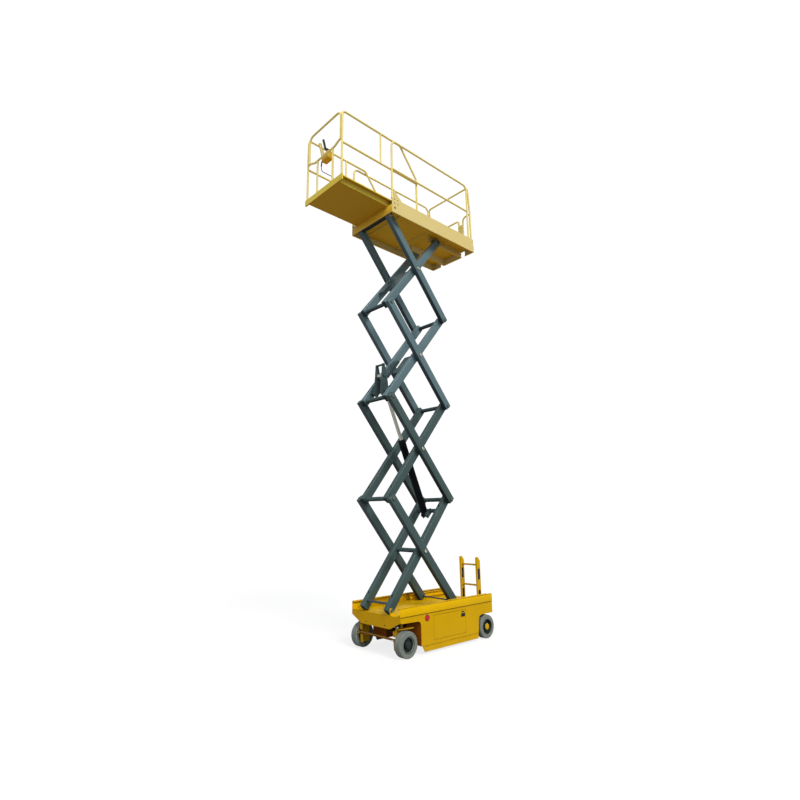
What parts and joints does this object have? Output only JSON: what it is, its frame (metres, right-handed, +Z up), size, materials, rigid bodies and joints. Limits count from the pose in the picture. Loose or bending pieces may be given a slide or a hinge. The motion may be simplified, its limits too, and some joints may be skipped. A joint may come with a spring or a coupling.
{
  "type": "scissor lift",
  "caption": "Self-propelled slab scissor lift, raised: wheeled chassis, crossed arm stages, lift cylinder and railed platform with its deck extension run out.",
  "frame": {"origin": "on the ground under the middle of the whole machine with its extension run out", "axes": "+X to the steered end and the platform extension, +Y to the machine's left, +Z up"},
  "size_m": [3.525, 1.15, 8.9028],
  "materials": {
    "chassis_yellow": "glossy golden yellow enamel",
    "battery_case": "moulded polypropylene",
    "power_grey": "painted castings",
    "button_red": "moulded red",
    "black_paint": "satin black",
    "rod_chrome": "hard chrome",
    "tyre_grey": "non-marking solid rubber",
    "rim_dark": "dark enamel",
    "arm_paint": "satin slate blue-green enamel",
    "platform_yellow": "satin pale yellow enamel",
    "black_plastic": "moulded nylon",
    "cable_rubber": "rubber sheath"
  },
  "bodies": {
    "chassis": {"tray": "chassis_yellow", "spine": "chassis_yellow", "front_plate": "chassis_yellow", "side_boxes": "chassis_yellow", "battery_pack": "battery_case", "power_unit": "power_grey", "stop_button": "button_red", "scissor_seats": "chassis_yellow", "ladder": "chassis_yellow", "rear_plate": "chassis_yellow", "front_axle": "chassis_yellow", "rear_axle": "chassis_yellow", "steer_barrel": "black_paint"},
    "door_left": {"door_left": "chassis_yellow"},
    "door_right": {"door_right": "chassis_yellow"},
    "guard_left": {"guard_left": "chassis_yellow"},
    "guard_right": {"guard_right": "chassis_yellow"},
    "knuckle_left": {"knuckle_left": "chassis_yellow"},
    "knuckle_right": {"knuckle_right": "chassis_yellow"},
    "tie_rod": {"tie_rod": "black_paint"},
    "steer_rod": {"steer_rod": "rod_chrome"},
    "wheel_front_left": {"tyre_front_left": "tyre_grey", "rim_front_left": "rim_dark"},
    "wheel_front_right": {"tyre_front_right": "tyre_grey", "rim_front_right": "rim_dark"},
    "wheel_rear_left": {"tyre_rear_left": "tyre_grey", "rim_rear_left": "rim_dark"},
    "wheel_rear_right": {"tyre_rear_right": "tyre_grey", "rim_rear_right": "rim_dark"},
    "inner_1": {"inner_arms_1": "arm_paint", "inner_shafts_1": "arm_paint"},
    "outer_1": {"outer_arms_1": "arm_paint", "outer_shaft_low": "arm_paint"},
    "inner_2": {"inner_arms_2": "arm_paint", "inner_shafts_2": "arm_paint"},
    "outer_2": {"outer_arms_2": "arm_paint"},
    "inner_3": {"inner_arms_3": "arm_paint", "inner_shafts_3": "arm_paint"},
    "outer_3": {"outer_arms_3": "arm_paint"},
    "inner_4": {"inner_arms_4": "arm_paint", "inner_shafts_4": "arm_paint"},
    "outer_4": {"outer_arms_4": "arm_paint", "outer_shaft_top": "arm_paint"},
    "lift_barrel": {"lift_barrel": "black_paint"},
    "lift_rod": {"lift_rod": "rod_chrome"},
    "platform": {"platform_deck": "platform_yellow", "main_side_rails": "platform_yellow", "rear_rail": "platform_yellow"},
    "gate": {"gate": "platform_yellow"},
    "extension": {"ext_deck": "platform_yellow", "ext_side_rails": "platform_yellow", "ext_front_rail": "platform_yellow", "control_box": "platform_yellow", "joystick": "black_plastic", "control_cable": "cable_rubber"}
  },
  "joints": [
    {"name": "lift", "type": "hinge", "parent": "chassis", "child": "inner_1", "pos_m": [0.5665, 0, 0.662], "axis": [0, 1, 0], "range_deg": [-46.4, 3.6]},
    {"name": "cross_1", "type": "hinge", "parent": "inner_1", "child": "outer_1", "pos_m": [-0.12829, 0, 1.50186], "axis": [0, 1, 0], "range_deg": [-7.4, 93]},
    {"name": "stage_2", "type": "hinge", "parent": "outer_1", "child": "inner_2", "pos_m": [0.5665, 0, 2.34172], "axis": [0, 1, 0], "range_deg": [-93, 7.4]},
    {"name": "cross_2", "type": "hinge", "parent": "inner_2", "child": "outer_2", "pos_m": [-0.12829, 0, 3.18158], "axis": [0, 1, 0], "range_deg": [-7.4, 93]},
    {"name": "stage_3", "type": "hinge", "parent": "outer_2", "child": "inner_3", "pos_m": [0.5665, 0, 4.02144], "axis": [0, 1, 0], "range_deg": [-93, 7.4]},
    {"name": "cross_3", "type": "hinge", "parent": "inner_3", "child": "outer_3", "pos_m": [-0.12829, 0, 4.8613], "axis": [0, 1, 0], "range_deg": [-7.4, 93]},
    {"name": "stage_4", "type": "hinge", "parent": "outer_3", "child": "inner_4", "pos_m": [0.5665, 0, 5.70116], "axis": [0, 1, 0], "range_deg": [-93, 7.4]},
    {"name": "cross_4", "type": "hinge", "parent": "inner_4", "child": "outer_4", "pos_m": [-0.12829, 0, 6.54102], "axis": [0, 1, 0], "range_deg": [-7.4, 93]},
    {"name": "platform_level", "type": "hinge", "parent": "outer_4", "child": "platform", "pos_m": [0.5665, 0, 7.38087], "axis": [0, 1, 0], "range_deg": [-46.6, 3.8]},
    {"name": "cylinder_swing", "type": "hinge", "parent": "inner_1", "child": "lift_barrel", "pos_m": [-0.58458, 0, 2.08479], "axis": [0, 1, 0], "range_deg": [-10.9, 102.6]},
    {"name": "cylinder_travel", "type": "slide", "parent": "lift_barrel", "child": "lift_rod", "axis": [0.3961, 0, 0.9182], "range_m": [-1.1274, 0.0902]},
    {"name": "steer", "type": "hinge", "parent": "chassis", "child": "knuckle_left", "pos_m": [0.431, 0.42, 0.44], "axis": [0, 0, 1], "range_deg": [-50, 50]},
    {"name": "steer_right", "type": "hinge", "parent": "chassis", "child": "knuckle_right", "pos_m": [0.431, -0.42, 0.44], "axis": [0, 0, 1], "range_deg": [-50.2, 50.2]},
    {"name": "tie_rod_level", "type": "hinge", "parent": "knuckle_left", "child": "tie_rod", "pos_m": [0.581, 0.42, 0.256], "axis": [0, 0, 1], "range_deg": [-50.2, 50.2]},
    {"name": "steer_rod_travel", "type": "slide", "parent": "chassis", "child": "steer_rod", "axis": [0, 1, 0], "range_m": [-0.0625, 0.0625]},
    {"name": "roll_front_left", "type": "hinge", "parent": "knuckle_left", "child": "wheel_front_left", "pos_m": [0.431, 0.5115, 0.19], "axis": [0, 1, 0], "continuous": true},
    {"name": "roll_front_right", "type": "hinge", "parent": "knuckle_right", "child": "wheel_front_right", "pos_m": [0.431, -0.5115, 0.19], "axis": [0, 1, 0], "continuous": true},
    {"name": "roll_rear_left", "type": "hinge", "parent": "chassis", "child": "wheel_rear_left", "pos_m": [-1.474, 0.5115, 0.19], "axis": [0, 1, 0], "continuous": true},
    {"name": "roll_rear_right", "type": "hinge", "parent": "chassis", "child": "wheel_rear_right", "pos_m": [-1.474, -0.5115, 0.19], "axis": [0, 1, 0], "continuous": true},
    {"name": "door_left_hinge", "type": "hinge", "parent": "chassis", "child": "door_left", "pos_m": [-0.1345, 0.568, 0.357], "axis": [0, 0, 1], "range_deg": [-110, 0]},
    {"name": "door_right_hinge", "type": "hinge", "parent": "chassis", "child": "door_right", "pos_m": [-0.1345, -0.568, 0.357], "axis": [0, 0, 1], "range_deg": [0, 110]},
    {"name": "guard_left_fold", "type": "hinge", "parent": "chassis", "child": "guard_left", "pos_m": [-0.5625, 0.559, 0.1207], "axis": [1, 0, 0], "range_deg": [-85, 0]},
    {"name": "guard_right_fold", "type": "hinge", "parent": "chassis", "child": "guard_right", "pos_m": [-0.5625, -0.559, 0.1207], "axis": [1, 0, 0], "range_deg": [0, 85]},
    {"name": "extension_slide", "type": "slide", "parent": "platform", "child": "extension", "axis": [1, 0, 0], "range_m": [-1.05, 0]},
    {"name": "gate_swing", "type": "hinge", "parent": "platform", "child": "gate", "pos_m": [-1.5665, 0.273, 7.88087], "axis": [0, 0, 1], "range_deg": [0, 90]}
  ],
  "couplings": [
    {"joint": "cross_1", "follows": "lift", "ratio": -2},
    {"joint": "stage_2", "follows": "lift", "ratio": 2},
    {"joint": "cross_2", "follows": "lift", "ratio": -2},
    {"joint": "stage_3", "follows": "lift", "ratio": 2},
    {"joint": "cross_3", "follows": "lift", "ratio": -2},
    {"joint": "stage_4", "follows": "lift", "ratio": 2},
    {"joint": "cross_4", "follows": "lift", "ratio": -2},
    {"joint": "platform_level", "follows": "lift", "ratio": 1},
    {"joint": "cylinder_swing", "follows": "lift", "ratio": -2.1213},
    {"joint": "cylinder_travel", "follows": "lift", "m_per_rad": 1.3884},
    {"joint": "steer_right", "follows": "steer", "ratio": 1},
    {"joint": "tie_rod_level", "follows": "steer", "ratio": -1},
    {"joint": "steer_rod_travel", "follows": "steer", "m_per_rad": 0.07023}
  ]
}
